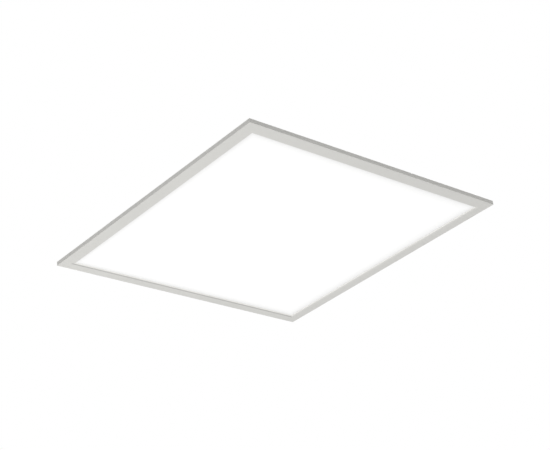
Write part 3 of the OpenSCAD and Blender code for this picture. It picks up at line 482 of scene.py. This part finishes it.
def make_floor(height=-3.2, half=60.0):
    """A plain pale floor, far enough below that the panel can be seen from underneath."""
    mesh = bpy.data.meshes.new("floor")
    corners = [(-half, -half, height), (half, -half, height), (half, half, height), (-half, half, height)]
    mesh.from_pydata(corners, [], [(0, 1, 2, 3)])
    floor = bpy.data.objects.new("floor", mesh)
    scene.collection.objects.link(floor)
    floor.data.materials.append(material("floor"))


# ---- CAD nodes ----

# Width of the rounded edges, in mm; the other nodes keep their CAD chamfers
EDGES = {
    "frame_front": 0.25, "frame_back": 0.25, "frame_left": 0.25, "frame_right": 0.25,
    "driver_tray": 0.3, "driver_lid": 0.3, "wiring_door": 0.3, "back_cover": 0.12,
    "terminal_block": 0.3, "selector_switch": 0.2, "selector_slider": 0.15, "cord_clamp": 0.3,
    "cord_saddle": 0.3, "lead_clips": 0.25, "tab_brackets": 0.15,
    "grid_tab_1": 0.15, "grid_tab_2": 0.15, "grid_tab_3": 0.15, "grid_tab_4": 0.15,
    "release_button_1": 0.2, "release_button_2": 0.2, "release_button_3": 0.2,
    "film_capacitor": 0.4, "transformer_core": 0.3, "power_transistors": 0.25, "output_socket": 0.25,
}
FLAT = math.radians(0.6)  # triangles that meet at less than this are one flat face
SHARP = math.radians(50)  # edges that turn more than this are rounded
SMOOTH = math.radians(47)  # edges that turn less than this are shaded smooth


def smoothing_group():
    """Node group that shades smooth, but keeps edges sharper than an angle sharp."""
    group = bpy.data.node_groups.new("smooth_by_angle", "GeometryNodeTree")
    group.is_modifier = True
    group.interface.new_socket("Geometry", in_out="INPUT", socket_type="NodeSocketGeometry")
    group.interface.new_socket("Geometry", in_out="OUTPUT", socket_type="NodeSocketGeometry")
    nodes, links = group.nodes, group.links
    start, end = nodes.new("NodeGroupInput"), nodes.new("NodeGroupOutput")
    smooth = nodes.new("GeometryNodeSetShadeSmooth")
    smooth.domain = "FACE"
    angle = nodes.new("GeometryNodeInputMeshEdgeAngle")
    compare = nodes.new("FunctionNodeCompare")
    compare.data_type, compare.operation = "FLOAT", "GREATER_THAN"
    compare.inputs["B"].default_value = SMOOTH
    sharp = nodes.new("GeometryNodeSetShadeSmooth")
    sharp.domain = "EDGE"
    sharp.inputs["Shade Smooth"].default_value = False
    links.new(start.outputs[0], smooth.inputs["Geometry"])
    links.new(smooth.outputs[0], sharp.inputs["Geometry"])
    links.new(angle.outputs["Unsigned Angle"], compare.inputs["A"])
    links.new(compare.outputs["Result"], sharp.inputs["Selection"])
    links.new(sharp.outputs[0], end.inputs[0])
    return group


SMOOTHING = smoothing_group()


def finish_edges(obj, width=None):
    """Joins split edges and flat triangles, rounds the sharp edges and shades the curves smooth."""
    weld = obj.modifiers.new("weld", "WELD")
    weld.merge_threshold = MERGE
    if width:
        flats = obj.modifiers.new("flats", "DECIMATE")
        flats.decimate_type = "DISSOLVE"
        flats.angle_limit = FLAT
        bevel = obj.modifiers.new("edge", "BEVEL")
        bevel.width = width * MM
        bevel.segments = 2
        bevel.limit_method = "ANGLE"
        bevel.angle_limit = SHARP
        bevel.use_clamp_overlap = True
    obj.modifiers.new("smooth", "NODES").node_group = SMOOTHING
    normals = obj.modifiers.new("normals", "WEIGHTED_NORMAL")
    normals.keep_sharp = True


def dress_nodes():
    for part in frame["record"]["subparts"]:
        obj = NODES[part["node"]]
        obj.data.materials.clear()
        obj.data.materials.append(material(part["material_slot"]))
        normals = obj.data.attributes.get("custom_normal")
        if normals:
            obj.data.attributes.remove(normals)
        finish_edges(obj, EDGES.get(part["node"]))


# ---- Pieces added over the CAD ----

def add_piece(name, data, slot, replaces=()):
    """Puts a mesh or curve on the panel, in the finish of one of the record's slots."""
    obj = bpy.data.objects.new(name, data)
    scene.collection.objects.link(obj)
    data.materials.append(material(slot))
    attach(obj, "panel")
    if replaces:
        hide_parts(*replaces)


def smooth_tube(name, points, radius, sides=3, steps=8):
    """A round tube on one smooth curve through the points."""
    curve = bpy.data.curves.new(name, "CURVE")
    curve.dimensions = "3D"
    curve.resolution_u = steps
    curve.bevel_depth = radius
    curve.bevel_resolution = sides
    curve.use_fill_caps = True
    spline = curve.splines.new("BEZIER")
    spline.bezier_points.add(len(points) - 1)
    for knot, point in zip(spline.bezier_points, points):
        knot.co = point
        knot.handle_left_type = knot.handle_right_type = "AUTO"
    return curve


LEAD_RADIUS = 2.2 * MM
# Route of the output lead, in mm
LEAD_ROUTE = (
    (93, 150, 19), (106, 150, 19), (118, 150, 19), (128, 150, 18.5), (138, 151, 16), (147, 154, 13),
    (155, 160, 11), (161, 167, 10.5), (165, 176, 10.5), (166, 186, 10.5), (166, 200, 10.5),
    (166, 214, 10.5), (166, 228, 11.5), (166, 239, 15), (166, 248, 19.5), (166, 257, 21.5),
    (166, 264, 19.5), (166, 267.5, 14.5), (166, 268, 10), (166, 268, 6.8))

# The choke's two windings: radius of the wire, turns of each and how much of the ring each covers
WIRE = 0.45 * MM
TURNS = 11
WINDING_ARC = math.radians(140)


def ring_core(name, middle, ring, section):
    """A ring with a squarish section, rounded at its corners."""
    around, across, squareness = 72, 24, 0.55
    mesh = bmesh.new()
    loops = []
    for i in range(around):
        turn = math.tau * i / around
        loop = []
        for j in range(across):
            c, s = math.cos(math.tau * j / across), math.sin(math.tau * j / across)
            out = ring + section * math.copysign(abs(c) ** squareness, c)
            height = section * math.copysign(abs(s) ** squareness, s)
            place = Vector((out * math.cos(turn), out * math.sin(turn), height))
            loop.append(mesh.verts.new(middle + place))
        loops.append(loop)
    for i in range(around):
        here, after = loops[i], loops[(i + 1) % around]
        for j in range(across):
            k = (j + 1) % across
            mesh.faces.new((here[j], after[j], after[k], here[k])).smooth = True
    data = bpy.data.meshes.new(name)
    mesh.to_mesh(data)
    mesh.free()
    return data


def winding_points(middle, ring, coil, floor, start):
    """A wire up from the board, round the ring's section in close turns, and down to the board again."""
    steps = 12
    turns = []
    for i in range(TURNS * steps + 1):
        around = start + WINDING_ARC * i / (TURNS * steps)
        t = math.tau * i / steps
        out = ring + coil * math.cos(t)
        turns.append(middle + Vector((out * math.cos(around), out * math.sin(around), coil * math.sin(t))))
    legs = []
    for end in (turns[0], turns[-1]):
        legs.append([Vector((end.x, end.y, z)) for z in (floor, (floor + end.z) / 2)])
    return legs[0] + turns + legs[1][::-1]


def make_choke():
    """Two windings of copper wire on a ring core."""
    low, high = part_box("line_choke")
    middle = (low + high) / 2
    section = (high.z - low.z) / 2
    ring = (high.x - low.x) / 2 - section
    coil = section - WIRE
    for i in range(2):
        start = math.pi * i + (math.pi - WINDING_ARC) / 2
        points = winding_points(middle, ring, coil, low.z, start)
        name = f"choke_winding_{i + 1}"
        tube = smooth_tube(name, points, WIRE, sides=2, steps=3)
        add_piece(name, tube, "choke", replaces=["line_choke"])
    add_piece("choke_core", ring_core("choke_core", middle, ring, coil - WIRE), "ferrite")


def islands(node):
    """The box of each separate solid of a CAD node, as pairs of lowest and highest corners."""
    mesh = bmesh.new()
    mesh.from_mesh(NODES[node].data)
    bmesh.ops.remove_doubles(mesh, verts=mesh.verts, dist=MERGE)
    left, found = set(mesh.verts), []
    while left:
        queue, solid = [left.pop()], []
        while queue:
            vert = queue.pop()
            solid.append(vert.co.copy())
            for edge in vert.link_edges:
                other = edge.other_vert(vert)
                if other in left:
                    left.remove(other)
                    queue.append(other)
        found.append((Vector(map(min, zip(*solid))), Vector(map(max, zip(*solid)))))
    mesh.free()
    return sorted(found, key=lambda box: tuple(box[0]))


def make_capacitor_tops():
    """The bare end of each capacitor's can inside its sleeve, scored with a cross so that it can vent."""
    rise, score, steps = 0.2 * MM, 0.25 * MM, 10
    mesh = bmesh.new()
    for low, high in islands("capacitors"):
        middle = (low + high) / 2
        radius = 0.8 * (high.x - low.x) / 2
        reach = math.asin(score / radius)
        for quarter in range(4):
            outline = [Vector((score, score))]
            for i in range(steps + 1):
                turn = reach + (math.pi / 2 - 2 * reach) * i / steps
                outline.append(radius * Vector((math.cos(turn), math.sin(turn))))
            outline = [Matrix.Rotation(quarter * math.pi / 2, 2) @ point for point in outline]
            rings = []
            for height in (high.z, high.z + rise):
                rings.append([mesh.verts.new((middle.x + p.x, middle.y + p.y, height)) for p in outline])
            mesh.faces.new(rings[1])
            mesh.faces.new(rings[0][::-1])
            for i, j in zip(range(len(outline)), (*range(1, len(outline)), 0)):
                mesh.faces.new((rings[0][i], rings[0][j], rings[1][j], rings[1][i]))
    data = bpy.data.meshes.new("capacitor_tops")
    mesh.to_mesh(data)
    mesh.free()
    add_piece("capacitor_tops", data, "sink_alu")


def make_lead():
    """The captive lead, as one smooth curve."""
    points = [Vector(point) * MM for point in LEAD_ROUTE]
    tube = smooth_tube("output_lead_smooth", points, LEAD_RADIUS)
    add_piece("output_lead_smooth", tube, "lead_sheath", replaces=["output_lead"])


make_camera()
make_world()
overhead_light()
area_light("under", (-0.3, -0.9, -1.2), (-0.1, -0.2, 0), 0.8, UNDER_WATTS)
make_floor()
scene.view_settings.view_transform = "Standard"
dress_nodes()
make_lead()
make_choke()
make_capacitor_tops()
